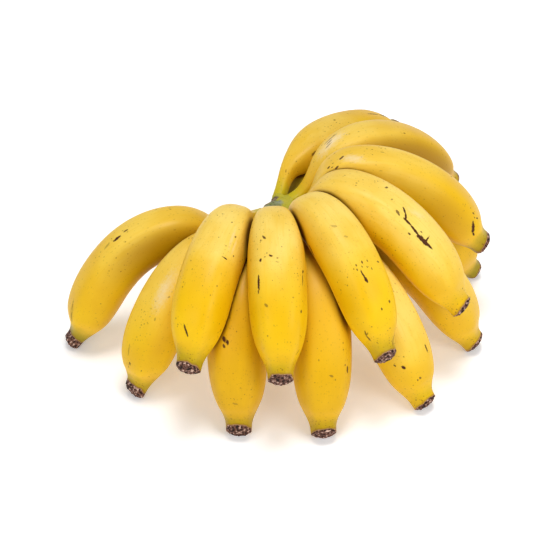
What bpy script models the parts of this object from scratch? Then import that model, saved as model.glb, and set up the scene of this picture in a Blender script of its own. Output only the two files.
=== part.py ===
"""Apple banana: one hand of fifteen short, thick fingers on a small crown, standing on its finger tips.

The fingers spread round the crown like the ribs of an umbrella, in an upper and a lower row, with the open
side of the hand at the back left. Each finger leaves the crown as a narrow neck, swells over its crest, bends
down, and hooks out again into a short blossom end with a low brown dome. Where two fingers meet, both are
pressed flat against each other.

Metres, +Z up. The front is -Y, and angles about the crown's axis are counted from the front towards +X.
"""

import bmesh
import bpy
import numpy as np
from collections import namedtuple
from math import cos, pi, radians, sin
from mathutils import Matrix, Vector

MM = 0.001

# Driving sizes
FINGER_RADIUS = 16.5 * MM
RIDGES = 5
RIDGE_HEIGHT = 0.022  # share of the radius

# How fingers press on each other. The softness is how sharp the edge of each flat is
PRESS_GAP = 0.35 * MM
PRESS_SOFTNESS = 16
PRESS_SHARES = (0.1, 1.4)
PRESS_HALVINGS = 14

# A finger's girth as a share of its radius, by distance in mm from the crown and from the blossom end
NECK_GIRTH = [(0, 0.29), (8, 0.27), (16, 0.34), (25, 0.57), (37, 0.86), (50, 0.98), (64, 1.0)]
END_GIRTH = [
    (0, 0.20), (1, 0.33), (2.4, 0.41), (5, 0.42), (8, 0.43), (10, 0.46), (14, 0.56), (20, 0.73), (26, 0.86),
    (33, 0.95), (43, 0.99), (56, 1.0),
]

# The blossom end hooks outwards over the finger's last part
HOOK_LENGTH = 17 * MM
HOOK_REACH = 5 * MM

# Rings of each finger, by distance in mm from either end, with even ones between them
NECK_RINGS = [0, 8, 16, 24, 31, 38, 46, 54]
END_RINGS = [42, 33, 26, 20, 15, 11, 7.5, 4, 2.4, 1, 0]
MIDDLE_RINGS = 3
SIDES = 18
SPINE_STEPS = 120
BALL_EVERY = 3

# Where the necks leave the crown, and the crest that each row rises to
ROOT_REACH = 10.3 * MM
UPPER = {"root_height": 77 * MM, "crest_reach": 47 * MM, "crest_height": 101 * MM, "tip_height": 48.5 * MM}
LOWER = {"root_height": 60 * MM, "crest_reach": 50 * MM, "crest_height": 70 * MM, "tip_height": 2.5 * MM}
CREST_HANDLE = 0.40  # share of the way from root to crest
TIP_HANDLE = 0.36  # share of the way from crest to tip

# The crown: a stub of stalk, cut across its top and down its open side
CROWN_PROFILE = [
    (0, 43.5), (4.5, 44), (8.0, 46.5), (9.2, 51), (9.3, 64), (9.0, 70), (7.6, 75), (6.3, 78.5), (5.4, 79.5),
    (0, 79.5),
]
CROWN_STEPS = 24
CROWN_CUT_ANGLE = 222
CROWN_CUT_REACH = 6.2 * MM
CROWN_CUT_TILT = 12
CROWN_CUT_HEIGHT = 70 * MM
CUTTER_SIZE = 60 * MM

PEEL = (0.88, 0.62, 0.05)
CROWN_GREEN = (0.28, 0.31, 0.13)

# root, crest and tip: angles in degrees. tip_reach: mm from the crown's axis. The pitches: degrees up from
# level, at the root and at the tip. girth: share of the radius. neck: how many times its usual length it is
Finger = namedtuple("Finger", "name root crest tip tip_reach root_pitch tip_pitch girth neck row changes")
FINGERS = [
    Finger("upper_finger_1", -88, -75.0, -74.6, 126.0, -4, -69, 0.95, 1.28, LOWER,
           {"root_height": 51 * MM, "crest_reach": 60 * MM, "crest_height": 72.5 * MM,
            "tip_height": 2.4 * MM}),
    Finger("upper_finger_2", -48, -33.0, -23.8, 118.5, 15, -66, 1.00, 1.0, UPPER,
           {"crest_height": 91.5 * MM}),
    Finger("upper_finger_3", -8, 0.0, 1.6, 117.5, 15, -66, 0.98, 1.0, UPPER, {"crest_height": 96 * MM}),
    Finger("upper_finger_4", 26, 33.0, 32.0, 116.5, 15, -66, 0.96, 1.0, UPPER, {"crest_height": 100 * MM}),
    Finger("upper_finger_5", 60, 62.5, 61.8, 121.5, 15, -60, 1.00, 1.0, UPPER, {"crest_height": 102 * MM}),
    Finger("upper_finger_6", 92, 91.5, 90.3, 124.0, 10, -60, 0.98, 1.0, UPPER, {"crest_height": 102 * MM}),
    Finger("upper_finger_7", 124, 123.0, 121.2, 128.5, 5, -56, 1.00, 1.25, UPPER,
           {"crest_height": 97 * MM, "tip_height": 45 * MM}),
    Finger("upper_finger_8", 164, 158.0, 144.0, 131.0, 20, -26, 0.97, 1.05, UPPER,
           {"crest_reach": 35 * MM, "crest_height": 86 * MM, "tip_height": 57 * MM}),
    Finger("lower_finger_1", -56, -47.0, -46.8, 112.0, 10, -76, 1.00, 1.0, LOWER, {"tip_height": 1.9 * MM}),
    Finger("lower_finger_2", -24, -22.0, -10.4, 112.0, 10, -70, 1.02, 1.0, LOWER, {}),
    Finger("lower_finger_3", 14, 24.0, 13.8, 115.5, 10, -70, 1.02, 1.0, LOWER, {}),
    Finger("lower_finger_4", 50, 44.0, 44.8, 123.0, 10, -64, 1.00, 1.0, LOWER, {}),
    Finger("lower_finger_5", 82, 72.0, 73.2, 124.0, 10, -72, 1.00, 1.0, LOWER, {}),
    Finger("lower_finger_6", 114, 102.0, 104.6, 128.5, 10, -66, 1.00, 1.0, LOWER, {}),
    Finger("lower_finger_7", 150, 146.0, 134.0, 121.0, 10, -66, 1.00, 1.0, LOWER, {"crest_height": 74 * MM}),
]


def clear_scene():
    for old in list(bpy.data.objects):
        bpy.data.objects.remove(old, do_unlink=True)


def new_collection(name):
    made = bpy.data.collections.new(name)
    bpy.context.scene.collection.children.link(made)
    return made


def new_material(name, colour, roughness):
    made = bpy.data.materials.new(name)
    made.use_nodes = True
    surface = made.node_tree.nodes["Principled BSDF"]
    surface.inputs["Base Color"].default_value = (*colour, 1)
    surface.inputs["Roughness"].default_value = roughness
    surface.inputs["Metallic"].default_value = 0
    return made


def place(reach, angle, height):
    """The point at this reach from the crown's axis, this angle from the front, and this height."""
    turn = radians(angle)
    return np.array([reach * sin(turn), -reach * cos(turn), height])


def heading(start, end):
    """The level direction from one point towards another."""
    level = (end - start) * [1, 1, 0]
    return level / np.linalg.norm(level)


def tilted(level, pitch):
    return level * cos(radians(pitch)) + np.array([0, 0, sin(radians(pitch))])


def bezier(start, start_handle, end_handle, end):
    t = np.linspace(0, 1, SPINE_STEPS)[:, None]
    s = 1 - t
    return s**3 * start + 3 * s**2 * t * start_handle + 3 * s * t**2 * end_handle + t**3 * end


def lengths_along(points):
    """How far each point is along the line that joins them."""
    steps = np.linalg.norm(np.diff(points, axis=0), axis=1)
    return np.concatenate([[0], np.cumsum(steps)])


def smooth_table(table, x):
    """Reads a table of pairs at x along a curve that never overshoots them."""
    at = np.array([pair[0] for pair in table], float)
    value = np.array([pair[1] for pair in table], float)
    step = np.diff(at)
    slope = np.diff(value) / step
    before, after = slope[:-1], slope[1:]
    level = before * after <= 0
    middle = np.where(level, 0, 2 * before * after / np.where(level, 1, before + after))
    tangent = np.concatenate([slope[:1], middle, slope[-1:]])
    x = np.clip(x, at[0], at[-1])
    i = np.clip(np.searchsorted(at, x, side="right") - 1, 0, len(step) - 1)
    t = (x - at[i]) / step[i]
    return (
        (2 * t**3 - 3 * t**2 + 1) * value[i]
        + (t**3 - 2 * t**2 + t) * step[i] * tangent[i]
        + (3 * t**2 - 2 * t**3) * value[i + 1]
        + (t**3 - t**2) * step[i] * tangent[i + 1]
    )


class Spine:
    """A finger's centreline from the crown to the blossom end, with its girth at each point."""

    def __init__(self, finger):
        sizes = {**finger.row, **finger.changes}
        root = place(ROOT_REACH, finger.root, sizes["root_height"])
        crest = place(sizes["crest_reach"], finger.crest, sizes["crest_height"])
        end = place(finger.tip_reach * MM, finger.tip, sizes["tip_height"])
        along = heading(root, end)
        outward = heading(crest, end)
        tip = end - outward * HOOK_REACH
        rise = np.linalg.norm(crest - root) * CREST_HANDLE
        fall = np.linalg.norm(tip - crest) * TIP_HANDLE
        leaving = tilted(heading(place(0, 0, 0), root), finger.root_pitch)
        landing = tilted(outward, finger.tip_pitch)
        up = bezier(root, root + leaving * rise, crest - along * rise, crest)
        down = bezier(crest, crest + along * fall, tip - landing * fall, tip)
        smooth = np.vstack([up, down[1:]])
        from_end = lengths_along(smooth)[-1] - lengths_along(smooth)
        hooked = np.clip(1 - from_end / HOOK_LENGTH, 0, 1) ** 2
        self.points = smooth + outward * HOOK_REACH * hooked[:, None]
        self.along = lengths_along(self.points)
        self.length = self.along[-1]
        self.radius = FINGER_RADIUS * finger.girth
        self.neck = finger.neck
        self.across = np.array([-along[1], along[0], 0])
        every = slice(0, None, BALL_EVERY)
        self.balls = self.points[every], self.girth(self.along[every])

    def girth(self, along):
        neck = smooth_table(NECK_GIRTH, along / MM / self.neck)
        end = smooth_table(END_GIRTH, (self.length - along) / MM)
        return self.radius * np.minimum(neck, end)

    def at(self, along):
        return np.stack([np.interp(along, self.along, self.points[:, k]) for k in range(3)], 1)

    def stations(self):
        neck = np.array(NECK_RINGS) * MM
        end = self.length - np.array(END_RINGS) * MM
        between = np.linspace(neck[-1], end[0], MIDDLE_RINGS + 2)[1:-1]
        return np.concatenate([neck, between, end])

    def rings(self):
        """Ring centres, and the points round each ring, before any pressing."""
        along = self.stations()
        centres = self.at(along)
        reach = 1 * MM
        forward = self.at(np.minimum(along + reach, self.length)) - self.at(np.maximum(along - reach, 0))
        forward /= np.linalg.norm(forward, axis=1)[:, None]
        sideways = self.across - forward * (forward @ self.across)[:, None]
        sideways /= np.linalg.norm(sideways, axis=1)[:, None]
        upright = np.cross(forward, sideways)
        turn = 2 * pi * np.arange(SIDES) / SIDES
        ridge = 1 + RIDGE_HEIGHT * np.cos(RIDGES * (turn + pi / 2))
        out = sideways[:, None] * np.cos(turn)[:, None] + upright[:, None] * np.sin(turn)[:, None]
        points = centres[:, None] + out * ridge[:, None] * self.girth(along)[:, None, None]
        return centres, points

    def outside_by(self, points):
        """How far each point lies outside this finger's round form. Inside it, the number is negative."""
        centres, radii = self.balls
        away = np.linalg.norm(points[:, None] - centres, axis=2) - radii
        return away.min(axis=1)


def press(spine, neighbours):
    """Draws a finger's points in to where it meets its neighbours, and rounds the edge of each flat."""
    centres, points = spine.rings()
    start = np.repeat(centres, SIDES, axis=0)
    out = points.reshape(-1, 3) - start
    nearest, furthest = PRESS_SHARES

    def clearance(other, share):
        at = start + out * share[:, None]
        return other.outside_by(at) - spine.outside_by(at) - PRESS_GAP

    kept = np.exp(-PRESS_SOFTNESS * np.ones(len(out)))
    for other in neighbours:
        low = np.full(len(out), nearest)
        high = np.full(len(out), furthest)
        meets = clearance(other, high) < 0
        for _ in range(PRESS_HALVINGS):
            middle = (low + high) / 2
            free = clearance(other, middle) > 0
            low = np.where(free, middle, low)
            high = np.where(free, high, middle)
        kept += np.where(meets, np.exp(-PRESS_SOFTNESS * low), 0)
    share = -np.log(kept) / PRESS_SOFTNESS
    return (start + out * share[:, None]).reshape(points.shape)


def loft(rings):
    """One closed body through rings of equal count, with a flat face over each end."""
    shape = bmesh.new()
    rows = [[shape.verts.new(point) for point in ring] for ring in rings]
    for near, far in zip(rows, rows[1:]):
        for k in range(SIDES):
            after = (k + 1) % SIDES
            shape.faces.new([near[k], near[after], far[after], far[k]])
    shape.faces.new(reversed(rows[0]))
    shape.faces.new(rows[-1])
    bmesh.ops.recalc_face_normals(shape, faces=shape.faces[:])
    return shape


def flatten_on_floor(shape):
    """Cuts away what would sink into the floor, which leaves a flat to stand on."""
    every = shape.verts[:] + shape.edges[:] + shape.faces[:]
    cut = bmesh.ops.bisect_plane(shape, geom=every, plane_co=(0, 0, 0), plane_no=(0, 0, -1), clear_outer=True)
    edges = [piece for piece in cut["geom_cut"] if isinstance(piece, bmesh.types.BMEdge)]
    if edges:
        bmesh.ops.contextual_create(shape, geom=edges)
        bmesh.ops.recalc_face_normals(shape, faces=shape.faces[:])


def add_fingers(home):
    spines = [Spine(finger) for finger in FINGERS]
    peel = new_material("peel", PEEL, 0.42)
    for finger, spine in zip(FINGERS, spines):
        neighbours = [other for other in spines if other is not spine]
        shape = loft(press(spine, neighbours))
        flatten_on_floor(shape)
        mesh = bpy.data.meshes.new(finger.name)
        shape.to_mesh(mesh)
        shape.free()
        mesh.materials.append(peel)
        mesh.shade_smooth()
        home.objects.link(bpy.data.objects.new(finger.name, mesh))


def add_crown(home, helpers):
    """A turned stub of stalk, cut down the side that the parent stalk was on."""
    mesh = bpy.data.meshes.new("crown")
    profile = [(radius * MM, 0, height * MM) for radius, height in reversed(CROWN_PROFILE)]
    mesh.from_pydata(profile, [(i, i + 1) for i in range(len(profile) - 1)], [])
    crown = bpy.data.objects.new("crown", mesh)
    home.objects.link(crown)
    crown.data.materials.append(new_material("crown", CROWN_GREEN, 0.7))
    turned = crown.modifiers.new("turned", "SCREW")
    turned.steps = turned.render_steps = CROWN_STEPS
    turned.use_merge_vertices = True
    turned.merge_threshold = 0.01 * MM

    bpy.ops.mesh.primitive_cube_add(size=CUTTER_SIZE)
    knife = bpy.context.object
    knife.name = "crown_cut"
    for old in knife.users_collection:
        old.objects.unlink(knife)
    helpers.objects.link(knife)
    face = place(CROWN_CUT_REACH, CROWN_CUT_ANGLE, CROWN_CUT_HEIGHT)
    around = Matrix.Rotation(radians(CROWN_CUT_ANGLE), 4, "Z")
    lean = Matrix.Rotation(radians(-CROWN_CUT_TILT), 4, "X")
    outward = Matrix.Translation((0, -CUTTER_SIZE / 2, 0))
    knife.matrix_world = Matrix.Translation(Vector(face)) @ around @ lean @ outward
    knife.hide_render = True
    knife.display_type = "WIRE"
    cut = crown.modifiers.new("cut face", "BOOLEAN")
    cut.operation = "DIFFERENCE"
    cut.object = knife


def centre_footprint(home, helpers):
    """Puts the origin at the middle of the hand's box, on the floor."""
    corners = np.array([obj.matrix_world @ Vector(at) for obj in home.objects for at in obj.bound_box])
    middle = (corners.min(axis=0) + corners.max(axis=0)) / 2
    for obj in [*home.objects, *helpers.objects]:
        obj.matrix_world = Matrix.Translation((-middle[0], -middle[1], 0)) @ obj.matrix_world


def main():
    clear_scene()
    home = new_collection("apple_banana")
    helpers = new_collection("cutters")
    add_fingers(home)
    add_crown(home, helpers)
    centre_footprint(home, helpers)


main()
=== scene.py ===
"""The looks of a hand of ripe apple bananas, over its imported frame."""

from math import atan2, cos, pi, radians, sin

import bpy
import numpy as np
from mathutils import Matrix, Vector


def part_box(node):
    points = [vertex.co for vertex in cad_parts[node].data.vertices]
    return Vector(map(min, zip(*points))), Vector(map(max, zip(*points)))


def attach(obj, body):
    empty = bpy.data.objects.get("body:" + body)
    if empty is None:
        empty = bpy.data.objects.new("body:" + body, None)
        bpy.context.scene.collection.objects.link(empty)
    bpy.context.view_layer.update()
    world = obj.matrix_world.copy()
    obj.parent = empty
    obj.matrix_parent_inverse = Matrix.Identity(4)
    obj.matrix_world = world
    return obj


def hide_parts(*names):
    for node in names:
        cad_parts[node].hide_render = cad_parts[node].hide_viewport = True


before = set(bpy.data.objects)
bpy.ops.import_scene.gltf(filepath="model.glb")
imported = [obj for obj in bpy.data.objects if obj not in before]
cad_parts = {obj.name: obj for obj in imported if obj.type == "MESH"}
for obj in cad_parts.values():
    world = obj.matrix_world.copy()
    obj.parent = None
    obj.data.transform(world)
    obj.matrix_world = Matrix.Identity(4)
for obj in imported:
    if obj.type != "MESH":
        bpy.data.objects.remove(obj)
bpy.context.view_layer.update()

# The camera
# It looks down on the hand from just over a metre away, from the side of its three front fingers. Every
# finger starts at the crown's axis, so the camera and the fingers are both placed from there.
MM = 0.001
CROWN_RADIUS = 9.3 * MM
crown_low, crown_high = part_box("crown")
CROWN_AXIS = Vector((crown_high[0] - CROWN_RADIUS, crown_low[1] + CROWN_RADIUS, 0))

CAMERA_ELEVATION = 40.5
CAMERA_DISTANCE = 1.1
CAMERA_LENS = 118.65
AIM_RIGHT = 1.2 * MM
AIM_UP = 19.3 * MM

look = Vector((0, cos(radians(CAMERA_ELEVATION)), -sin(radians(CAMERA_ELEVATION))))
upwards = Vector((0, sin(radians(CAMERA_ELEVATION)), cos(radians(CAMERA_ELEVATION))))
aim = CROWN_AXIS + Vector((AIM_RIGHT, 0, 0)) + upwards * AIM_UP
bpy.ops.object.camera_add(
    location=aim - look * CAMERA_DISTANCE,
    rotation=(radians(90 - CAMERA_ELEVATION), 0, 0),
)
camera = bpy.context.object
camera.name = "camera"
camera.data.lens = CAMERA_LENS
bpy.context.scene.camera = camera

# The fifteen fingers
# Each is one short, thick fruit: a narrow neck at the crown, a body with five soft ridges under a thin waxy
# peel, and a dry brown blossom end. They grew pressed together, so each is flat where it meets a neighbour.
FINGER_RADIUS = 16.5 * MM
STRAIGHT_LENGTH = 140
NECK_LENGTH = 64
END_LENGTH = 56

# Girth as a share of the radius, by distance in mm from the crown and from the blossom end
NECK_GIRTH = [(0, 0.29), (8, 0.27), (16, 0.34), (25, 0.57), (37, 0.86), (50, 0.98), (64, 1.0)]
END_GIRTH = [
    (0, 0.20), (1, 0.33), (2.4, 0.41), (5, 0.42), (8, 0.43), (10, 0.46), (14, 0.56), (20, 0.73),
    (26, 0.86), (33, 0.95), (43, 0.99), (56, 1.0),
]
HOOK_LENGTH = 17
HOOK_REACH = 5

# What every finger of a row has in common, in mm
UPPER = {"root_height": 77, "crest_reach": 47, "crest_height": 101, "tip_height": 48.5}
LOWER = {"root_height": 60, "crest_reach": 50, "crest_height": 70, "tip_height": 2.5}
ROOT_REACH = 10.3

# name, angles of root, crest and tip, reach of the tip, pitches of root and tip, girth, length of neck, row,
# and what differs from its row
FINGERS = [
    ("upper_finger_1", -88, -75.0, -74.6, 126.0, -4, -69, 0.95, 1.28, LOWER,
     {"root_height": 51, "crest_reach": 60, "crest_height": 72.5, "tip_height": 2.4}),
    ("upper_finger_2", -48, -33.0, -23.8, 118.5, 15, -66, 1.00, 1.00, UPPER, {"crest_height": 91.5}),
    ("upper_finger_3", -8, 0.0, 1.6, 117.5, 15, -66, 0.98, 1.00, UPPER, {"crest_height": 96}),
    ("upper_finger_4", 26, 33.0, 32.0, 116.5, 15, -66, 0.96, 1.00, UPPER, {"crest_height": 100}),
    ("upper_finger_5", 60, 62.5, 61.8, 121.5, 15, -60, 1.00, 1.00, UPPER, {"crest_height": 102}),
    ("upper_finger_6", 92, 91.5, 90.3, 124.0, 10, -60, 0.98, 1.00, UPPER, {"crest_height": 102}),
    ("upper_finger_7", 124, 123.0, 121.2, 128.5, 5, -56, 1.00, 1.25, UPPER,
     {"crest_height": 97, "tip_height": 45}),
    ("upper_finger_8", 164, 158.0, 144.0, 131.0, 20, -26, 0.97, 1.05, UPPER,
     {"crest_reach": 35, "crest_height": 86, "tip_height": 57}),
    ("lower_finger_1", -56, -47.0, -46.8, 112.0, 10, -76, 1.00, 1.00, LOWER, {"tip_height": 1.9}),
    ("lower_finger_2", -24, -22.0, -10.4, 112.0, 10, -70, 1.02, 1.00, LOWER, {}),
    ("lower_finger_3", 14, 24.0, 13.8, 115.5, 10, -70, 1.02, 1.00, LOWER, {}),
    ("lower_finger_4", 50, 44.0, 44.8, 123.0, 10, -64, 1.00, 1.00, LOWER, {}),
    ("lower_finger_5", 82, 72.0, 73.2, 124.0, 10, -72, 1.00, 1.00, LOWER, {}),
    ("lower_finger_6", 114, 102.0, 104.6, 128.5, 10, -66, 1.00, 1.00, LOWER, {}),
    ("lower_finger_7", 150, 146.0, 134.0, 121.0, 10, -66, 1.00, 1.00, LOWER, {"crest_height": 74}),
]


def read_curve(table, x):
    """Reads a table of pairs at x along a curve that never overshoots them."""
    at = np.array([pair[0] for pair in table], float)
    value = np.array([pair[1] for pair in table], float)
    step = np.diff(at)
    slope = np.diff(value) / step
    before, after = slope[:-1], slope[1:]
    level = before * after <= 0
    middle = np.where(level, 0, 2 * before * after / np.where(level, 1, before + after))
    tangent = np.concatenate([slope[:1], middle, slope[-1:]])
    x = np.clip(x, at[0], at[-1])
    i = np.clip(np.searchsorted(at, x, side="right") - 1, 0, len(step) - 1)
    t = (x - at[i]) / step[i]
    return (
        (2 * t**3 - 3 * t**2 + 1) * value[i]
        + (t**3 - 2 * t**2 + t) * step[i] * tangent[i]
        + (3 * t**2 - 2 * t**3) * value[i + 1]
        + (t**3 - t**2) * step[i] * tangent[i + 1]
    )


def girth_at(height):
    """The straight finger's radius at a height in mm above its root end."""
    neck = read_curve(NECK_GIRTH, height)
    end = read_curve(END_GIRTH, STRAIGHT_LENGTH - height)
    return FINGER_RADIUS * np.minimum(neck, end)


def place(reach, angle, height):
    """The point at this reach from the crown's axis, angle from the front and height, in mm and degrees."""
    turn = radians(angle)
    return np.array([reach * sin(turn), -reach * cos(turn), height]) * MM + np.array(CROWN_AXIS)


def level_way(start, end):
    """The level direction from one point towards another."""
    way = (end - start) * [1, 1, 0]
    return way / np.linalg.norm(way)


def tilted(way, pitch):
    return way * cos(radians(pitch)) + np.array([0, 0, sin(radians(pitch))])


def bezier(start, start_handle, end_handle, end):
    t = np.linspace(0, 1, 120)[:, None]
    s = 1 - t
    return s**3 * start + 3 * s**2 * t * start_handle + 3 * s * t**2 * end_handle + t**3 * end


def lengths_along(points):
    """How far each point is along the line that joins them."""
    steps = np.linalg.norm(np.diff(points, axis=0), axis=1)
    return np.concatenate([[0], np.cumsum(steps)])


class Spine:
    """The line that one finger grows along, over its crest and down to the tip, which hooks outwards."""

    def __init__(self, root, crest, tip, tip_reach, root_pitch, tip_pitch, girth, neck, row, changes):
        sizes = {**row, **changes}
        start = place(ROOT_REACH, root, sizes["root_height"])
        top = place(sizes["crest_reach"], crest, sizes["crest_height"])
        end = place(tip_reach, tip, sizes["tip_height"])
        along = level_way(start, end)
        outward = level_way(top, end)
        soft_end = end - outward * HOOK_REACH * MM
        rise = np.linalg.norm(top - start) * 0.40
        fall = np.linalg.norm(soft_end - top) * 0.36
        leaving = tilted(level_way(np.array(CROWN_AXIS), start), root_pitch)
        landing = tilted(outward, tip_pitch)
        up = bezier(start, start + leaving * rise, top - along * rise, top)
        down = bezier(top, top + along * fall, soft_end - landing * fall, soft_end)
        soft = np.vstack([up, down[1:]])
        from_end = lengths_along(soft)[-1] - lengths_along(soft)
        hooked = np.clip(1 - from_end / (HOOK_LENGTH * MM), 0, 1) ** 2
        self.points = soft + outward * HOOK_REACH * MM * hooked[:, None]
        self.along = lengths_along(self.points)
        self.length = self.along[-1]
        self.girth = girth
        self.neck = neck
        self.across = np.array([-along[1], along[0], 0])
        self.leaving = leaving
        straight, stretched = self.stretch()
        heights = np.interp(self.along, stretched, straight)
        self.balls = self.points[::3], girth_at(heights / MM)[::3] * girth

    def stretch(self):
        """Heights on the straight finger, and how far along this finger each of them comes."""
        straight = np.array([0, NECK_LENGTH, STRAIGHT_LENGTH - END_LENGTH, STRAIGHT_LENGTH]) * MM
        along = np.array([0, NECK_LENGTH * MM * self.neck, self.length - END_LENGTH * MM, self.length])
        along[1] = min(along[1], along[2] - 1 * MM)
        return straight, along

    def at(self, along):
        return np.stack([np.interp(along, self.along, self.points[:, k]) for k in range(3)], 1)

    def bent(self, points):
        """Where the straight finger's points go on this finger, and the spine's point under each."""
        straight, stretched = self.stretch()
        along = np.interp(points[:, 2], straight, stretched)
        centre = self.at(along)
        forward = self.at(np.minimum(along + MM, self.length)) - self.at(np.maximum(along - MM, 0))
        forward /= np.linalg.norm(forward, axis=1)[:, None]
        sideways = self.across - forward * (forward @ self.across)[:, None]
        sideways /= np.linalg.norm(sideways, axis=1)[:, None]
        upright = np.cross(forward, sideways)
        beyond = points[:, 2] - np.clip(points[:, 2], straight[0], straight[-1])
        centre = centre + forward * beyond[:, None]
        out = sideways * points[:, :1] + upright * points[:, 1:2]
        return centre, centre + out * self.girth

    def outside_by(self, points):
        """How far each point lies outside this finger's round form. Inside it, the number is negative."""
        centres, radii = self.balls
        return (np.linalg.norm(points[:, None] - centres, axis=2) - radii).min(axis=1)


spines = {name: Spine(*rest) for name, *rest in FINGERS}

# One straight finger is drawn ring by ring up from its root, and every finger is a copy of it
ROOT_DEPTH = 2.5
RINGS = [
    -ROOT_DEPTH, 2, 7, 12, 18, 24, 31, 39, 48, 58, 68, 78, 88, 97, 105, 112, 118, 122.5, 126, 129, 131.5,
    133.5, 135, 136, 136.6,
]
# The blossom end after the last ring, as narrowing and rise: the peel's edge, and the dry dome inside it
FACE_STEPS = [
    (0.97, 0.3), (0.94, -0.35), (0.96, 0.4), (0.90, 0.6),
    (0.80, 0.55), (0.66, 0.4), (0.50, 0.15), (0.40, -0.1),
]
RIDGES = 5
COLUMNS = 2 * RIDGES
RIDGE_HEIGHT = 0.08
# How far smoothing draws in a ring of this many corners
SOFTENING = (2 + cos(2 * pi / COLUMNS)) / 3

bpy.ops.object.select_all(action="DESELECT")
first_radius = float(girth_at(0)) / SOFTENING
bpy.ops.mesh.primitive_circle_add(vertices=COLUMNS, radius=first_radius, location=(0, 0, 0))
straight_finger = bpy.context.object
bpy.ops.object.mode_set(mode="EDIT")
bpy.ops.transform.translate(value=(0, 0, -ROOT_DEPTH * MM))
for below, above in zip(RINGS, RINGS[1:]):
    bpy.ops.mesh.extrude_edges_move(TRANSFORM_OT_translate={"value": (0, 0, (above - below) * MM)})
    swell = float(girth_at(above) / girth_at(below))
    bpy.ops.transform.resize(value=(swell, swell, 1))
for narrowing, rise in FACE_STEPS:
    bpy.ops.mesh.extrude_edges_move(TRANSFORM_OT_translate={"value": (0, 0, rise * MM)})
    bpy.ops.transform.resize(value=(narrowing, narrowing, 1))
bpy.ops.mesh.edge_face_add()


def select_where(piece, wanted):
    """Selects the vertices whose place is wanted, and goes back to edit mode."""
    bpy.ops.object.mode_set(mode="EDIT")
    bpy.ops.mesh.select_all(action="DESELECT")
    bpy.ops.object.mode_set(mode="OBJECT")
    for vertex in piece.data.vertices:
        vertex.select = wanted(vertex.co)
    bpy.ops.object.mode_set(mode="EDIT")


def on_ridge(at):
    return round((atan2(at.y, at.x) + pi / 2) / (2 * pi) * COLUMNS) % 2 == 0


select_where(straight_finger, lambda at: at.z < -0.9 * ROOT_DEPTH * MM)
bpy.ops.mesh.edge_face_add()
# Every other column stands out as a ridge, a little more at the blossom end and along the neck
for wanted, swell in [
    (on_ridge, 1 + 2 * RIDGE_HEIGHT),
    (lambda at: True, 1 - RIDGE_HEIGHT),
    (lambda at: on_ridge(at) and 115 * MM < at.z < 136.7 * MM, 1.05),
    (lambda at: on_ridge(at) and 10 * MM < at.z < 45 * MM, 1.04),
]:
    select_where(straight_finger, wanted)
    bpy.ops.transform.resize(value=(swell, swell, 1), center_override=(0, 0, 0))
bpy.ops.mesh.select_all(action="SELECT")
bpy.ops.mesh.normals_make_consistent(inside=False)
bpy.ops.object.mode_set(mode="OBJECT")


def finish_with(piece, kind, **settings):
    """Adds a modifier to the piece and applies it."""
    bpy.ops.object.select_all(action="DESELECT")
    piece.select_set(True)
    bpy.context.view_layer.objects.active = piece
    made = piece.modifiers.new(kind.lower(), kind)
    for key, value in settings.items():
        setattr(made, key, value)
    bpy.ops.object.modifier_apply(modifier=made.name)


def points_of(piece):
    flat = np.empty(len(piece.data.vertices) * 3, np.float32)
    piece.data.vertices.foreach_get("co", flat)
    return flat.reshape(-1, 3).astype(float)


def move_points(piece, points):
    piece.data.vertices.foreach_set("co", points.astype(np.float32).ravel())
    piece.data.update()


finish_with(straight_finger, "SUBSURF", levels=2, render_levels=2)
straight_points = points_of(straight_finger)
unbent = straight_finger.data.attributes.new("unbent", "FLOAT_VECTOR", "POINT")
unbent.data.foreach_set("vector", straight_points.astype(np.float32).ravel())

PRESS_GAP = 0.10 * MM
PRESS_SOFTNESS = 16


def pressed(spine, neighbours, centre, points):
    """Draws points in to where the finger meets its neighbours. Also gives how much each was drawn in."""
    out = points - centre
    kept = np.full(len(out), np.exp(-PRESS_SOFTNESS))

    def clearance(other, share, rows):
        at = centre[rows] + out[rows] * share[:, None]
        return other.outside_by(at) - spine.outside_by(at) - PRESS_GAP

    for other in neighbours:
        every = np.arange(len(out))
        rows = every[clearance(other, np.full(len(out), 1.4), every) < 0]
        if not len(rows):
            continue
        low = np.full(len(rows), 0.1)
        high = np.full(len(rows), 1.4)
        for _ in range(14):
            middle = (low + high) / 2
            free = clearance(other, middle, rows) > 0
            low = np.where(free, middle, low)
            high = np.where(free, high, middle)
        kept[rows] += np.exp(-PRESS_SOFTNESS * low)
    share = -np.log(kept) / PRESS_SOFTNESS
    return centre + out * share[:, None], 1 - share


def eased(value, start, end):
    """Goes smoothly from 0 to 1 as the value goes from start to end."""
    share = np.clip((value - start) / (end - start), 0, 1)
    return share**2 * (3 - 2 * share)


CRUMPLE_DEPTH = 1.5
CRUMPLE_FROM = 136.9
crumple = bpy.data.textures.new("dry blossom end", "CLOUDS")
crumple.noise_scale = 1.3 * MM
crumple.noise_depth = 2

# How far the dry end's face leans towards the finger's back, in degrees
USUAL_LEAN = 8
FACE_LEAN = {
    "upper_finger_1": 4, "upper_finger_2": 13, "upper_finger_3": 15, "upper_finger_4": 13,
    "upper_finger_6": 4, "upper_finger_7": 4, "upper_finger_8": 4,
    "lower_finger_1": 21, "lower_finger_2": 18, "lower_finger_3": 12, "lower_finger_6": 4,
}
LEAN_START = 127
LEAN_WHOLE = 136

# Blossom ends that are slimmer than the others, as a share of their width
SLIM_ENDS = {"upper_finger_1": 0.80, "lower_finger_1": 0.90, "lower_finger_6": 0.88}
SLIM_START = 112
SLIM_WHOLE = 129

# Necks that aren't as wide as the others: their width as a share, and the side in mm that stays where it is
FLAT_NECK = {"upper_finger_8": (0.90, 4.6), "lower_finger_7": (1.35, -4.6)}
FLAT_UNTIL = 14
ROUND_AGAIN = 32

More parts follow.
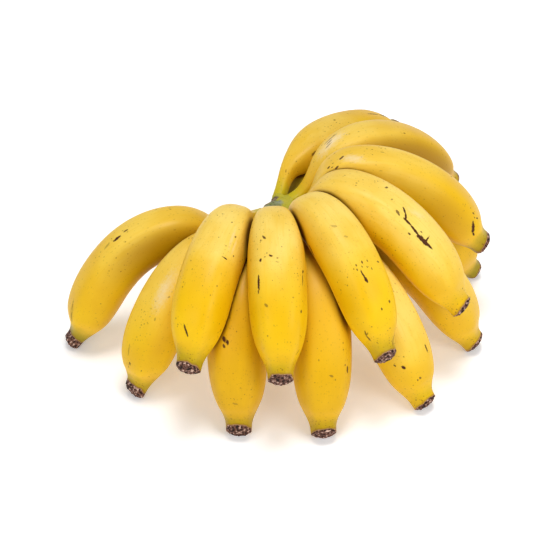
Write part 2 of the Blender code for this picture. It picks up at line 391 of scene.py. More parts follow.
# A tip this near the floor, in mm, rests on it, pressed flat by this much
REST_WITHIN = 5
TIP_FLAT = 0.5
SETTLE_START = 88
SETTLE_WHOLE = 130

finger_pieces = {}
for name, spine in spines.items():
    finger = bpy.data.objects.new(name + "_fruit", straight_finger.data.copy())
    bpy.context.scene.collection.objects.link(finger)
    shaped = straight_points.copy()
    height = straight_points[:, 2] / MM
    towards_end = np.clip((height - LEAN_START) / (LEAN_WHOLE - LEAN_START), 0, 1)
    shaped[:, 2] -= np.tan(radians(FACE_LEAN.get(name, USUAL_LEAN))) * towards_end * straight_points[:, 1]
    slimness = eased(height, SLIM_START, SLIM_WHOLE)
    shaped[:, :2] *= 1 - (1 - SLIM_ENDS.get(name, 1)) * slimness[:, None]
    width, kept_side = FLAT_NECK.get(name, (1, 0))
    narrowed = eased(height, ROUND_AGAIN, FLAT_UNTIL)
    shaped[:, 0] += (width - 1) * narrowed * (shaped[:, 0] - kept_side * MM)
    centre, points = spine.bent(shaped)
    neighbours = [other for other in spines.values() if other is not spine]
    points, drawn_in = pressed(spine, neighbours, centre, points)
    lowest = points[:, 2].min()
    if -TIP_FLAT * MM < lowest < REST_WITHIN * MM:
        points[:, 2] -= (lowest + TIP_FLAT * MM) * eased(height, SETTLE_START, SETTLE_WHOLE)
    points[:, 2] = np.maximum(points[:, 2], 0)
    move_points(finger, points)
    # how far each point was drawn in, which the peel darkens as rub marks and painted crease shade
    rub_and_crease_shade = finger.data.attributes.new("rub_and_crease_shade", "FLOAT", "POINT")
    rub_and_crease_shade.data.foreach_set("value", drawn_in.astype(np.float32))
    finish_with(finger, "SUBSURF", levels=1, render_levels=1)

    unbent_places = np.empty(len(finger.data.vertices) * 3, np.float32)
    finger.data.attributes["unbent"].data.foreach_get("vector", unbent_places)
    on_face = np.nonzero(unbent_places[2::3] > CRUMPLE_FROM * MM)[0]
    dry_face = finger.vertex_groups.new(name="dry face")
    dry_face.add([int(i) for i in on_face], 1.0, "REPLACE")
    finish_with(
        finger, "DISPLACE", texture=crumple, vertex_group="dry face",
        strength=CRUMPLE_DEPTH * MM, mid_level=0.5,
    )
    points = points_of(finger)
    points[:, 2] = np.maximum(points[:, 2], 0)
    move_points(finger, points)
    finger.data.shade_smooth()
    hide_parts(name)
    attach(finger, "root")
    finger_pieces[name] = finger
bpy.data.objects.remove(straight_finger)

# The peel of each finger
# Ripe peel is yellow with a paler back, partly the peel's own and partly painted sheen, and runs into olive
# green at its two ends. It is freckled brown, scarred where it was knocked, and torn round a dry
# purplish-brown dome at the blossom end. Some fingers carry painted shade on flanks, necks and creases. Each
# finger has its own marks.
# painted shade: the deeper yellow of a finger that the others shade
PAINTED_SHADE_YELLOW = (0.665, 0.36, 0.001, 1)
DEEP_YELLOW = (0.785, 0.450, 0.001, 1)
RIPE_YELLOW = (0.84, 0.515, 0.002, 1)
# painted shade: the browner yellow of a flank that a neighbour shades
PAINTED_FLANK_SHADE = (0.40, 0.205, 0.001, 1)
# the peel's paler back, lifted to stand in for the sheen of the light above: partly painted highlight
PALE_BACK_AND_SHEEN_YELLOW = (0.91, 0.67, 0.165, 1)
END_OLIVE = (0.30, 0.235, 0.003, 1)
NECK_GREEN = (0.52, 0.46, 0.012, 1)
# painted shade: dark olive for a neck in the shadow between the others
PAINTED_SHADE_OLIVE = (0.19, 0.155, 0.005, 1)
# rub marks and painted shade in the creases between fingers
RUB_AND_CREASE_SHADE_BROWN = (0.16, 0.055, 0.004, 1)
FRECKLE_BROWN = (0.22, 0.085, 0.006, 1)
SCAR_BROWN = (0.075, 0.022, 0.007, 1)
# waxy bloom, and the cream of one painted highlight
BLOOM_AND_HIGHLIGHT_CREAM = (0.82, 0.69, 0.47, 1)
BLOSSOM_DARK = (0.018, 0.008, 0.006, 1)
BLOSSOM_BROWN = (0.17, 0.075, 0.052, 1)
BLOSSOM_TAN = (0.66, 0.46, 0.36, 1)
TORN_EDGE = (0.42, 0.22, 0.11, 1)

# How green each finger's blossom end is, where it isn't the usual share
USUAL_GREEN = 0.62
GREEN_ENDS = {
    "upper_finger_1": 0.95, "upper_finger_2": 0.80, "upper_finger_5": 0.15, "upper_finger_6": 0.85,
    "upper_finger_8": 0.85,
    "lower_finger_1": 0.80, "lower_finger_4": 0.30, "lower_finger_5": 0.40, "lower_finger_6": 0.95,
}
# How far in mm the dry brown climbs the peel at the blossom end, where it isn't the usual
USUAL_DRY = 0.4
DRY_ENDS = {
    "upper_finger_1": 5.4, "upper_finger_2": 0.9, "upper_finger_3": 0.7, "upper_finger_6": 1.6,
    "lower_finger_1": 2.8, "lower_finger_2": 1.5, "lower_finger_3": 0.8, "lower_finger_5": 0.9,
}
# How much of the pale yellow shows along a finger's back, partly the peel's paler back and partly painted
# sheen from the light above, how far along in mm it is gone, and how much painted shade deepens the finger's
# yellow, where that isn't the usual
USUAL_TONE = (1.0, 106, 0.0)
TONES = {
    "upper_finger_1": (0.62, 106, 0.0),
    "upper_finger_5": (1.0, 138, 0.0),
    "upper_finger_6": (0.80, 106, 0.0),
    "upper_finger_7": (0.65, 96, 0.45),
    "upper_finger_8": (0.75, 96, 0.30),
    "lower_finger_1": (0.85, 106, 0.0),
    "lower_finger_2": (0.10, 106, 0.85),
    "lower_finger_3": (0.15, 106, 0.65),
    "lower_finger_4": (1.0, 125, 0.0),
    "lower_finger_5": (0.90, 130, 0.0),
    "lower_finger_6": (0.50, 106, 0.10),
    "lower_finger_7": (0.30, 106, 0.40),
}
PALE_FADE = 56

# Each mark runs from one turn and height to another on the straight finger, in degrees and mm, and has a
# width in mm and a strength
MARKS = {
    "upper_finger_1": [
        (88, 60, 88, 60.4, 1.2, 0.9), (84, 63.5, 84, 65, 2.0, 1.0), (88, 69, 86, 71, 1.6, 0.4),
        (76, 105, 70, 110, 1.0, 0.5), (68, 111, 62, 116, 1.1, 0.6), (72, 108, 66, 117, 3.2, 0.22),
        (96, 130, 80, 131, 1.2, 0.7),
    ],
    "upper_finger_2": [
        (57, 72, 51, 72.3, 1.5, 1.0), (51, 54, 51, 54.4, 0.9, 0.8), (38, 64, 38, 64.4, 0.9, 0.8),
        (98, 114, 87, 118.5, 1.0, 1.0),
        (70, 47, 70, 47.3, 0.8, 0.6), (80, 58, 80, 58.2, 0.6, 0.5), (108, 88, 108, 88.2, 0.6, 0.5),
    ],
    "upper_finger_3": [
        (116, 56, 113, 56.8, 1.2, 0.9), (121, 57.5, 121, 57.8, 0.8, 0.7), (104, 68, 102, 68.6, 1.4, 1.0),
        (110, 65.5, 110, 65.8, 0.7, 0.8), (123, 70, 123, 71.6, 1.4, 1.0), (129, 84.5, 130, 90.5, 1.5, 1.0),
        (131, 91, 131, 92, 1.0, 0.9), (117, 98, 114, 98.6, 1.3, 0.6), (28, 77.5, 31, 79.5, 1.6, 1.0),
        (32, 81, 34, 88, 0.9, 0.8), (42, 101, 42, 101.4, 1.1, 0.9), (80, 62, 80, 62.2, 0.6, 0.6),
        (92, 74, 89, 74.3, 0.9, 0.4), (60, 70, 60, 70.2, 0.6, 0.5), (30, 120, 38, 122, 0.8, 0.6),
    ],
    "upper_finger_4": [
        (110, 86, 110, 86.4, 0.8, 0.8), (96, 85.5, 96, 86, 0.9, 0.9), (84, 86, 84, 86.4, 0.8, 0.8),
        (82, 90, 82, 90.3, 0.8, 0.7), (62, 88, 60, 88.2, 0.9, 0.8), (112, 88, 112, 88.3, 0.7, 0.7),
        (100, 87.5, 100, 87.8, 0.7, 0.7), (90, 88.5, 90, 88.8, 0.7, 0.6), (106, 89.5, 104, 93.5, 0.9, 1.0),
        (104, 93, 103, 94.5, 1.6, 1.0), (148, 118, 150, 120.5, 1.1, 0.8), (150, 120.5, 146, 124, 1.1, 0.8),
        (141, 118.5, 146, 119.5, 0.9, 0.6), (57, 126, 63, 134, 0.6, 0.7), (68, 107, 68, 107.4, 1.2, 0.9),
        (92, 109, 92, 109.4, 1.0, 0.9), (112, 60, 106, 61, 1.3, 0.35), (102, 68, 98, 69, 1.2, 0.35),
        (188, 57, 194, 63, 1.2, 0.9),
    ],
    "upper_finger_5": [
        (99, 73, 108, 75.5, 1.0, 1.0), (108, 75.5, 117, 77, 1.1, 1.0), (117, 76.5, 118, 80.5, 1.2, 1.0),
        (118, 80, 122, 86.5, 1.3, 1.0), (122, 86, 121, 92, 2.4, 1.0), (126, 90.5, 107, 89.8, 1.0, 1.0),
        (120, 91, 119, 94.5, 1.4, 1.0), (114, 71.5, 118, 73.5, 1.3, 0.8), (132, 82, 132, 82.5, 1.0, 0.9),
        (112, 85.5, 112, 85.9, 0.8, 0.8),
        (80, 62, 77, 62.3, 1.0, 0.9), (84, 126, 84, 126.3, 0.8, 0.8), (100, 67, 98, 67.2, 0.7, 0.6),
    ],
    "upper_finger_6": [
        (102, 40, 98, 40.6, 1.1, 0.9), (112, 35, 110, 35.4, 1.1, 0.9), (123, 38, 121, 38.4, 1.1, 0.9),
        (116, 36.5, 116, 36.8, 0.7, 0.7), (106, 37, 106, 37.2, 0.6, 0.6), (70, 91, 70, 91.4, 0.9, 0.8),
        (118, 106, 118, 106.3, 0.7, 0.8), (122, 109, 121, 110, 0.9, 0.9), (122, 113.5, 120, 114, 1.0, 0.9),
        (126, 111.5, 126, 111.8, 0.7, 0.8), (138, 113.5, 150, 118, 2.2, 1.0),
        (152, 119, 153, 121, 1.2, 1.0), (88, 56, 88, 57, 0.8, 0.5),
    ],
    "upper_finger_7": [
        (96, 104, 96, 104.5, 1.3, 0.8), (86, 28, 84, 30, 0.7, 0.6), (78, 29, 76, 31, 0.7, 0.6),
        (70, 29, 68, 33, 0.9, 0.45), (60, 58, 60, 58.3, 0.7, 0.7), (64, 70, 64, 70.2, 0.6, 0.6),
    ],
    "upper_finger_8": [
        (99, 98, 104, 107, 1.0, 0.9), (104, 110, 106, 124, 2.2, 0.9), (104, 122, 106, 136, 2.2, 1.0),
        (140, 29, 138, 34, 2.0, 0.8),
    ],
    "lower_finger_1": [
        (87, 115, 86, 116, 1.1, 0.9), (92, 118, 92, 119, 0.7, 0.6), (52, 116, 52, 116.3, 0.8, 0.7),
        (62, 86, 61, 87, 1.0, 0.4), (96, 106, 94, 112, 0.9, 0.4),
    ],
    "lower_finger_2": [
        (107, 82.5, 105, 83.5, 1.8, 1.0), (99, 84, 98, 84.8, 1.5, 1.0), (106, 86, 105, 86.5, 1.4, 0.9),
        (102, 83, 102, 84, 1.2, 0.6), (90, 116, 84, 116.4, 1.2, 0.4),
    ],
    "lower_finger_3": [
        (50, 97, 50, 99, 1.4, 0.9), (88, 100, 84, 100.4, 1.0, 0.6), (78, 102, 78, 102.3, 0.7, 0.5),
        (110, 92, 110, 92.3, 0.7, 0.5),
    ],
    "lower_finger_4": [
        (72, 101.5, 71, 105, 1.1, 0.9), (138, 106, 136, 106.6, 1.8, 1.0), (154, 104, 153, 104.4, 1.1, 0.9),
        (111, 116, 109, 116.5, 1.2, 0.8), (118, 116.4, 118, 116.8, 0.8, 0.8),
    ],
}


def node(tree, kind, *inputs, **settings):
    """Adds a node. Each input is a value, or a socket of another node to take it from."""
    made = tree.nodes.new(kind)
    for key, value in settings.items():
        setattr(made, key, value)
    for socket, value in zip(made.inputs, inputs):
        if isinstance(value, bpy.types.NodeSocket):
            tree.links.new(value, socket)
        elif value is not None:
            socket.default_value = value
    return made


def maths(tree, operation, *inputs):
    return node(tree, "ShaderNodeMath", *inputs, operation=operation).outputs[0]


def product(tree, first, *others):
    for other in others:
        first = maths(tree, "MULTIPLY", first, other)
    return first


def greatest(tree, first, *others):
    for other in others:
        first = maths(tree, "MAXIMUM", first, other)
    return first


def made_uneven(tree, value, pattern, amount):
    """Shifts the value up and down by a pattern that runs from 0 to 1."""
    return maths(tree, "MULTIPLY_ADD", maths(tree, "SUBTRACT", pattern, 0.5), amount, value)


def fade(tree, value, start, end, low=0.0, high=1.0):
    """Goes smoothly from low to high as the value goes from start to end."""
    made = node(tree, "ShaderNodeMapRange", value, start, end, low, high, interpolation_type="SMOOTHSTEP")
    return made.outputs["Result"]


def blended(tree, share, below, above):
    made = node(tree, "ShaderNodeMix", data_type="RGBA")
    for socket, value in zip((made.inputs[0], made.inputs[6], made.inputs[7]), (share, below, above)):
        if isinstance(value, bpy.types.NodeSocket):
            tree.links.new(value, socket)
        else:
            socket.default_value = value
    return made.outputs[2]


def noise(tree, where, scale, detail=2.0):
    made = node(tree, "ShaderNodeTexNoise", where)
    made.inputs["Scale"].default_value = scale
    made.inputs["Detail"].default_value = detail
    return made.outputs["Fac"]


def scaled(tree, where, factors):
    return node(tree, "ShaderNodeVectorMath", where, factors, operation="MULTIPLY").outputs[0]


def length_of(tree, where):
    return node(tree, "ShaderNodeVectorMath", where, operation="LENGTH").outputs["Value"]


def new_finish(name):
    """A new material, its node tree and its shader."""
    made = bpy.data.materials.new(name)
    made.use_nodes = True
    return made, made.node_tree, made.node_tree.nodes["Principled BSDF"]


def roughened(tree, shader, relief, strength, depth):
    """Gives the shader a fine relief of this depth in mm."""
    bump = node(tree, "ShaderNodeBump")
    bump.inputs["Strength"].default_value = strength
    bump.inputs["Distance"].default_value = depth * MM
    tree.links.new(relief, bump.inputs["Height"])
    tree.links.new(bump.outputs[0], shader.inputs["Normal"])


def freckles(tree, where, spacing, size, share):
    """Small round dots, in mm: a share of the cells of a scatter, each with its own size."""
    cells = node(tree, "ShaderNodeTexVoronoi", where)
    cells.inputs["Scale"].default_value = 1 / (spacing * MM)
    pick = node(tree, "ShaderNodeSeparateColor", cells.outputs["Color"])
    chosen = fade(tree, pick.outputs[0], 1 - share - 0.02, 1 - share)
    reach = maths(tree, "MULTIPLY_ADD", pick.outputs[1], size / spacing * 0.7, size / spacing * 0.5)
    inside = maths(tree, "SUBTRACT", reach, cells.outputs["Distance"])
    return product(tree, chosen, fade(tree, inside, 0.0, size / spacing * 0.5))


def mark_on_peel(tree, where, wobble, outer, inner, mark):
    """A ragged oval on the peel, from one place on it to another, which fades in from outer to inner."""
    turn, height, turn_end, height_end, width, strength = mark
    ways_out = [Vector((cos(radians(angle)), sin(radians(angle)), 0)) for angle in (turn, turn_end)]
    up = Vector((0, 0, MM))
    start = ways_out[0] * float(girth_at(height)) + up * height
    end = ways_out[1] * float(girth_at(height_end)) + up * height_end
    way_out = (ways_out[0] + ways_out[1]).normalized()
    centre = (start + end) / 2
    centre += way_out * (float(girth_at((height + height_end) / 2)) - centre.xy.length)
    long_way = (end - start).normalized()
    wide_way = way_out.cross(long_way).normalized()
    length = (end - start).length + width * MM
    from_centre = node(tree, "ShaderNodeVectorMath", where, centre, operation="SUBTRACT").outputs[0]
    ways = [long_way / (length / 2), wide_way / (width / 2 * MM), way_out / (6 * MM)]
    shares = [
        node(tree, "ShaderNodeVectorMath", from_centre, way, operation="DOT_PRODUCT").outputs["Value"]
        for way in ways
    ]
    distance = length_of(tree, node(tree, "ShaderNodeCombineXYZ", *shares).outputs[0])
    return fade(tree, maths(tree, "ADD", distance, wobble), outer, inner, 0.0, strength)


# Necks painted a dark olive as shade, where they lie in the shadow between the others
NECKS_WITH_PAINTED_SHADE = ["lower_finger_7"]
# Painted shade on a flank that a neighbour keeps from the light: a deeper, browner yellow. The side, the
# heights in mm where it is whole and where it has gone, and how much of it there is
FLANKS_WITH_PAINTED_SHADE = {
    "upper_finger_1": (1, 52, 92, 0.85), "upper_finger_6": (-1, 92, 132, 0.40),
    "upper_finger_7": (-1, 118, 138, 0.95),
}
# Pale patches, given as the marks are: waxy bloom left on the peel, and on upper_finger_6 a painted highlight
# on the shoulder
BLOOMS_AND_PAINTED_HIGHLIGHT = {
    "upper_finger_2": [(58, 50, 54, 62, 2.0, 0.40), (46, 54, 44, 64, 1.6, 0.35)],
    "upper_finger_5": [(93, 76, 81, 82, 5.0, 0.30)],
    "upper_finger_6": [(104, 42, 112, 46, 6.0, 0.55)],
    "upper_finger_7": [(86, 27, 79, 33, 8.0, 0.75)],
    "lower_finger_1": [(78, 66, 70, 80, 9.0, 0.55)],
}


def ripe_peel(finger_name, seed):
    """One finger's peel. Its patterns lie on the straight finger, so they bend with the fruit."""
    made, tree, shader = new_finish(finger_name + "_peel")
    straight = node(tree, "ShaderNodeAttribute", attribute_name="unbent").outputs["Vector"]
    split = node(tree, "ShaderNodeSeparateXYZ", straight)
    across, back, height = split.outputs[0], split.outputs[1], split.outputs[2]
    offset = (seed * 0.37, seed * 0.61, seed * 0.83)
    own = node(tree, "ShaderNodeVectorMath", straight, offset, operation="ADD").outputs[0]

    # yellow, paler along the back (partly painted sheen) and in soft patches, deepened by painted shade on
    # some fingers, with fine lines along the fruit
    patches = noise(tree, own, 38, 3)
    clouds = noise(tree, scaled(tree, own, (1, 1, 0.4)), 120, 4)
    lines = noise(tree, scaled(tree, own, (1, 1, 0.10)), 900, 2)
    paleness, pale_until, depth = TONES.get(finger_name, USUAL_TONE)
    pale_back_and_sheen = product(
        tree,
        fade(tree, back, -2 * MM, 15 * MM),
        fade(tree, height, pale_until * MM, (pale_until - PALE_FADE) * MM),
        fade(tree, patches, 0.30, 0.70, 0.40 * paleness, 0.95 * paleness),
    )
    colour = blended(tree, fade(tree, patches, 0.35, 0.65), DEEP_YELLOW, RIPE_YELLOW)
    # painted shade: deepens the yellow of fingers that the others shade
    colour = blended(tree, depth, colour, PAINTED_SHADE_YELLOW)
    colour = blended(tree, pale_back_and_sheen, colour, PALE_BACK_AND_SHEEN_YELLOW)
    colour = blended(tree, fade(tree, lines, 0.45, 0.75, 0.0, 0.22), colour, DEEP_YELLOW)
    colour = blended(tree, fade(tree, clouds, 0.55, 0.75, 0.0, 0.35), colour, DEEP_YELLOW)

    # painted shade: browner on a flank that a neighbour shades
    if finger_name in FLANKS_WITH_PAINTED_SHADE:
        side, whole, gone, share = FLANKS_WITH_PAINTED_SHADE[finger_name]
        flank = fade(tree, product(tree, across, side), 6.5 * MM, 15 * MM, 0.0, share)
        painted_flank_shade = product(tree, flank, fade(tree, height, gone * MM, whole * MM))
        colour = blended(tree, painted_flank_shade, colour, PAINTED_FLANK_SHADE)

    # green towards both ends, and a brown tinge where it meets its neighbours: partly rub marks, partly
    # painted shade in the creases between them
    uneven = made_uneven(tree, height, noise(tree, own, 90, 3), 12 * MM)
    colour = blended(tree, fade(tree, uneven, 17 * MM, 1 * MM, 0.0, 0.85), colour, NECK_GREEN)
    # painted shade: a dark olive neck where it lies in shadow between the others
    if finger_name in NECKS_WITH_PAINTED_SHADE:
        colour = blended(tree, fade(tree, uneven, 52 * MM, 34 * MM, 0.0, 0.85), colour, PAINTED_SHADE_OLIVE)
    edge = (RINGS[-1] - DRY_ENDS.get(finger_name, USUAL_DRY)) * MM
    green = GREEN_ENDS.get(finger_name, USUAL_GREEN)
    colour = blended(tree, fade(tree, uneven, edge - 14 * MM, edge - 0.5 * MM, 0.0, green), colour, END_OLIVE)
    rub_and_crease_shade = node(tree, "ShaderNodeAttribute", attribute_name="rub_and_crease_shade").outputs["Fac"]
    rub_and_crease_mask = product(
        tree,
        fade(tree, made_uneven(tree, rub_and_crease_shade, clouds, 0.03), 0.010, 0.050),
        fade(tree, height, 10 * MM, 24 * MM, 0.3, 0.9),
    )
    colour = blended(tree, rub_and_crease_mask, colour, RUB_AND_CREASE_SHADE_BROWN)

    # freckles, some in groups and some near the blossom end, then blooms, one painted highlight, and marks
    gathered = fade(tree, noise(tree, own, 55, 1), 0.42, 0.62)
    near_end = fade(tree, height, 118 * MM, 135 * MM, 0.0, 0.7)
    dots = greatest(
        tree,
        product(tree, freckles(tree, own, 1.8, 0.5, 0.38), gathered, 0.65),
        product(tree, freckles(tree, own, 8, 0.8, 0.24), 0.85),
        product(tree, freckles(tree, own, 1.5, 0.6, 0.45), near_end),
        product(tree, freckles(tree, own, 1.25, 0.45, 0.45), 0.20),
    )
    colour = blended(tree, dots, colour, FRECKLE_BROWN)
    wobble = made_uneven(tree, 0.0, noise(tree, own, 900, 2), 1.3)
    blooms_and_highlight = [mark_on_peel(tree, straight, wobble, 1.3, -0.1, mark) for mark in BLOOMS_AND_PAINTED_HIGHLIGHT.get(finger_name, [])]
    colour = blended(tree, greatest(tree, 0.0, *blooms_and_highlight), colour, BLOOM_AND_HIGHLIGHT_CREAM)
    marks = [mark_on_peel(tree, straight, wobble, 1.25, 0.80, mark) for mark in MARKS.get(finger_name, [])]
    marked = greatest(tree, 0.0, *marks)
    colour = blended(tree, marked, colour, SCAR_BROWN)

    # the dry blossom end, with a pale torn edge where the peel stops
    arched = maths(tree, "MULTIPLY_ADD", greatest(tree, back, 0.0), 0.18, height)
    torn = made_uneven(tree, arched, noise(tree, own, 260, 3), 3 * MM)
    dry = fade(tree, torn, edge, edge + 0.3 * MM)
    rim = product(
        tree,
        fade(tree, torn, edge - 0.2 * MM, edge + 0.1 * MM),
        fade(tree, torn, edge + 0.6 * MM, edge + 0.3 * MM),
        0.7,
    )
    crumpled = noise(tree, own, 640, 4)
    husk = blended(tree, fade(tree, crumpled, 0.42, 0.52), BLOSSOM_DARK, BLOSSOM_BROWN)
    husk = blended(tree, fade(tree, crumpled, 0.57, 0.64), husk, BLOSSOM_TAN)
    colour = blended(tree, fade(tree, torn, edge - 1.6 * MM, edge, 0.0, 0.55), colour, FRECKLE_BROWN)
    colour = blended(tree, dry, colour, husk)
    colour = blended(tree, rim, colour, TORN_EDGE)
    tree.links.new(colour, shader.inputs["Base Color"])

    # fine lines and pores, with the marks a little sunk, and a deep crumple at the dry end
    skin = maths(tree, "MULTIPLY_ADD", noise(tree, own, 1500, 2), 0.25, product(tree, lines, 0.45))
    skin = maths(tree, "SUBTRACT", skin, product(tree, marked, 0.8))
    relief = node(tree, "ShaderNodeMix", data_type="FLOAT")
    tree.links.new(dry, relief.inputs[0])
    tree.links.new(skin, relief.inputs[2])
    tree.links.new(product(tree, crumpled, 4.0), relief.inputs[3])
    roughened(tree, shader, relief.outputs[0], 0.35, 0.25)

    # waxy, and dull where it is marked or dry
    dull = greatest(tree, dry, dots, marked)
    rough = maths(tree, "MULTIPLY_ADD", dull, 0.35, fade(tree, patches, 0.3, 0.7, 0.36, 0.46))
    tree.links.new(rough, shader.inputs["Roughness"])
    shader.inputs["Specular IOR Level"].default_value = 0.18
    return made


for number, (name, finger) in enumerate(finger_pieces.items()):
    finger.data.materials.clear()
    finger.data.materials.append(ripe_peel(name, number + 1))

# The crown
# A stub of the stalk that every neck grows from, fibrous and grey-green. It is cut across its top and down
# its open side, and swells into a low yellow-green collar where each neck leaves it.

# radius, height and how far it leans to the left, in mm
CROWN_PROFILE = [
    (4.5, 43.9, 0), (7.4, 45.4, 0), (8.6, 48, 0), (9.0, 52, 0), (9.0, 64, 0), (8.2, 70, 0.4),
    (6.3, 75, 1.0), (5.2, 78.5, 1.6), (4.4, 80.0, 1.8),
]
CUT_ANGLE = 222
CUT_TILT = 12
CUT_REACH = 6.2
CUT_HEIGHT = 70

bpy.ops.object.select_all(action="DESELECT")
start_radius, start_height, _ = CROWN_PROFILE[0]
crown_foot = CROWN_AXIS + Vector((0, 0, start_height * MM))
bpy.ops.mesh.primitive_circle_add(
    vertices=32, radius=start_radius * MM, location=crown_foot, fill_type="NGON",
)
crown = bpy.context.object
crown.name = "crown_stub"
bpy.ops.object.transform_apply(location=True, rotation=True, scale=True)
bpy.ops.object.mode_set(mode="EDIT")
bpy.ops.mesh.select_all(action="SELECT")
for (radius, height, lean), (next_radius, next_height, next_lean) in zip(CROWN_PROFILE, CROWN_PROFILE[1:]):
    rise = ((lean - next_lean) * MM, 0, (next_height - height) * MM)
    bpy.ops.mesh.extrude_region_move(TRANSFORM_OT_translate={"value": rise})
    swell = next_radius / radius
    middle = CROWN_AXIS - Vector((next_lean * MM, 0, 0))
    bpy.ops.transform.resize(value=(swell, swell, 1), center_override=middle)
bpy.ops.mesh.select_all(action="SELECT")
cut_way = Vector(tilted(place(1000, CUT_ANGLE, 0) - np.array(CROWN_AXIS), CUT_TILT))
cut_foot = Vector(place(CUT_REACH, CUT_ANGLE, CUT_HEIGHT))
bpy.ops.mesh.bisect(plane_co=cut_foot, plane_no=cut_way, use_fill=True, clear_outer=True)
bpy.ops.mesh.select_all(action="SELECT")
bpy.ops.mesh.normals_make_consistent(inside=False)
bpy.ops.object.mode_set(mode="OBJECT")

COLLAR_INNER = 3.8
COLLAR_OUTER = 4.9
COLLAR_LENGTH = 8.5
COLLAR_BACK = 3.5
collars = []
for name, spine in spines.items():
    way = Vector(spine.leaving)
    middle = Vector(spine.points[0]) - way * COLLAR_BACK * MM
    bpy.ops.mesh.primitive_cone_add(
        vertices=20,
        radius1=COLLAR_INNER * MM,
        radius2=COLLAR_OUTER * spine.girth * MM,
        depth=COLLAR_LENGTH * MM,
        location=middle,
        rotation=way.to_track_quat("Z", "Y").to_euler(),
    )
    bpy.ops.object.transform_apply(location=True, rotation=True, scale=True)
    collars.append(bpy.context.object)
bpy.ops.object.select_all(action="DESELECT")
for collar in collars:
    collar.select_set(True)
crown.select_set(True)
bpy.context.view_layer.objects.active = crown
bpy.ops.object.join()
finish_with(crown, "REMESH", mode="VOXEL", voxel_size=0.45 * MM)
finish_with(crown, "SMOOTH", factor=0.5, iterations=10)
fibres = bpy.data.textures.new("stalk fibres", "CLOUDS")
fibres.noise_scale = 1.8 * MM
finish_with(crown, "DISPLACE", texture=fibres, strength=0.7 * MM, mid_level=0.5)
crown.data.shade_smooth()

STALK_GREEN = (0.20, 0.23, 0.075, 1)
STALK_GREY = (0.30, 0.33, 0.22, 1)
STALK_BROWN = (0.070, 0.045, 0.024, 1)
DRY_TAN = (0.34, 0.25, 0.15, 1)
CUT_BROWN = (0.13, 0.080, 0.045, 1)
STUB_CENTRE = CROWN_AXIS - Vector((1.9 * MM, 0, 0))


def stalk_skin():
    """The crown's rind, its collars and the dry face where it is cut."""
    made, tree, shader = new_finish("stalk")
    where = node(tree, "ShaderNodeTexCoord").outputs["Object"]
    mottle = noise(tree, where, 220, 3)
    fibre = noise(tree, scaled(tree, where, (1, 1, 0.2)), 900, 3)
    colour = blended(tree, fade(tree, mottle, 0.36, 0.60), STALK_GREY, STALK_GREEN)
    colour = blended(tree, fade(tree, fibre, 0.52, 0.72, 0.0, 0.7), colour, STALK_BROWN)

    # yellow-green towards the necks
    from_axis = node(tree, "ShaderNodeVectorMath", where, STUB_CENTRE, operation="SUBTRACT").outputs[0]
    reach = length_of(tree, scaled(tree, from_axis, (1, 1, 0)))
    uneven = maths(tree, "MULTIPLY_ADD", mottle, 4 * MM, reach)
    colour = blended(tree, fade(tree, uneven, 6.6 * MM, 9.2 * MM, 0.0, 0.85), colour, NECK_GREEN)

    # dry tan with dark bundles of fibre on the cut side
    from_cut = node(tree, "ShaderNodeVectorMath", where, cut_foot, operation="SUBTRACT").outputs[0]
    depth = node(tree, "ShaderNodeVectorMath", from_cut, cut_way, operation="DOT_PRODUCT").outputs["Value"]
    on_cut = product(
        tree,
        fade(tree, depth, -1.1 * MM, -0.6 * MM),
        fade(tree, reach, 8.5 * MM, 7.0 * MM),
    )
    cut_face = blended(tree, fade(tree, noise(tree, where, 330, 4), 0.42, 0.60), DRY_TAN, CUT_BROWN)
    cut_face = blended(tree, fade(tree, reach, 6.0 * MM, 7.8 * MM, 0.0, 0.8), cut_face, STALK_BROWN)
    cut_face = blended(tree, freckles(tree, where, 1.5, 0.8, 0.65), cut_face, STALK_BROWN)
    colour = blended(tree, on_cut, colour, cut_face)
    tree.links.new(colour, shader.inputs["Base Color"])
    roughened(tree, shader, fibre, 0.7, 0.4)
    shader.inputs["Roughness"].default_value = 0.8
    return made


crown.data.materials.clear()
crown.data.materials.append(stalk_skin())
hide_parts("crown")
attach(crown, "root")

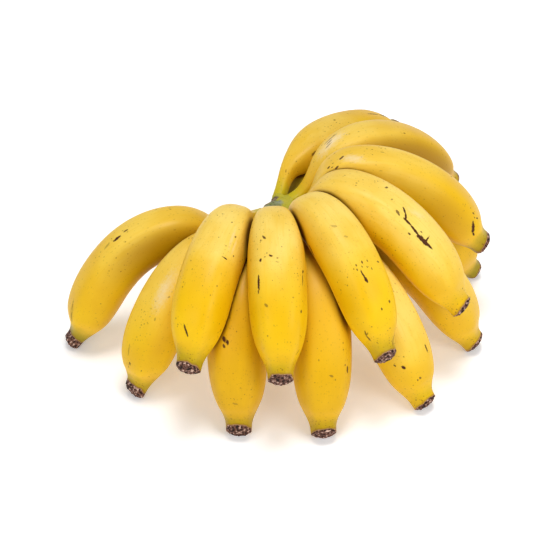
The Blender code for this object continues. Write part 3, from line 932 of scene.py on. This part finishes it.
# The studio
# A plain white floor runs out to a white surround. It glows as painted light, faintly near the hand and more
# further out, which whitens its shadow. One soft light hangs straight above the hand, and one stands in front
# on each side, the stronger on the right.
bpy.ops.object.select_all(action="DESELECT")
bpy.ops.mesh.primitive_plane_add(size=30, location=(0, 0, 0))
floor = bpy.context.object
floor.name = "floor"
white, tree, shader = new_finish("white floor")
shader.inputs["Base Color"].default_value = (0.97, 0.97, 0.97, 1)
shader.inputs["Roughness"].default_value = 0.9
# painted light: the floor glows 0.25 near the hand, rising to 0.72 by 1.3 m out
shader.inputs["Emission Color"].default_value = (1, 1, 1, 1)
from_hand = node(tree, "ShaderNodeTexCoord").outputs["Object"]
glow = fade(tree, length_of(tree, from_hand), 0.35, 1.3, 0.25, 0.72)
tree.links.new(glow, shader.inputs["Emission Strength"])
floor.data.materials.append(white)

surround = bpy.data.worlds.new("white surround")
surround.use_nodes = True
tree = surround.node_tree
tree.nodes["Background"].inputs["Color"].default_value = (1, 1, 1, 1)
way_out = node(tree, "ShaderNodeTexCoord").outputs["Generated"]
upward = node(tree, "ShaderNodeSeparateXYZ", way_out).outputs[2]
tree.links.new(fade(tree, upward, 0.03, 0.30, 1.0, 0.32), tree.nodes["Background"].inputs["Strength"])
bpy.context.scene.world = surround

# name, place, width, depth and power
SOFTBOXES = [
    ("overhead softbox", (0.05, -0.05, 1.35), 0.5, 0.4, 9.5),
    ("right softbox", (0.85, -0.80, 0.75), 0.6, 0.5, 4.8),
    ("left softbox", (-0.60, -1.00, 0.75), 0.6, 0.5, 2.8),
]
for name, at, width, depth, power in SOFTBOXES:
    bpy.ops.object.light_add(type="AREA", location=at)
    softbox = bpy.context.object
    softbox.name = name
    softbox.data.shape = "RECTANGLE"
    softbox.data.size = width
    softbox.data.size_y = depth
    softbox.data.energy = power
    to_hand = Vector((0, 0, 0.06)) - softbox.location
    softbox.rotation_euler = to_hand.to_track_quat("-Z", "Y").to_euler()

bpy.context.scene.view_settings.view_transform = "Standard"
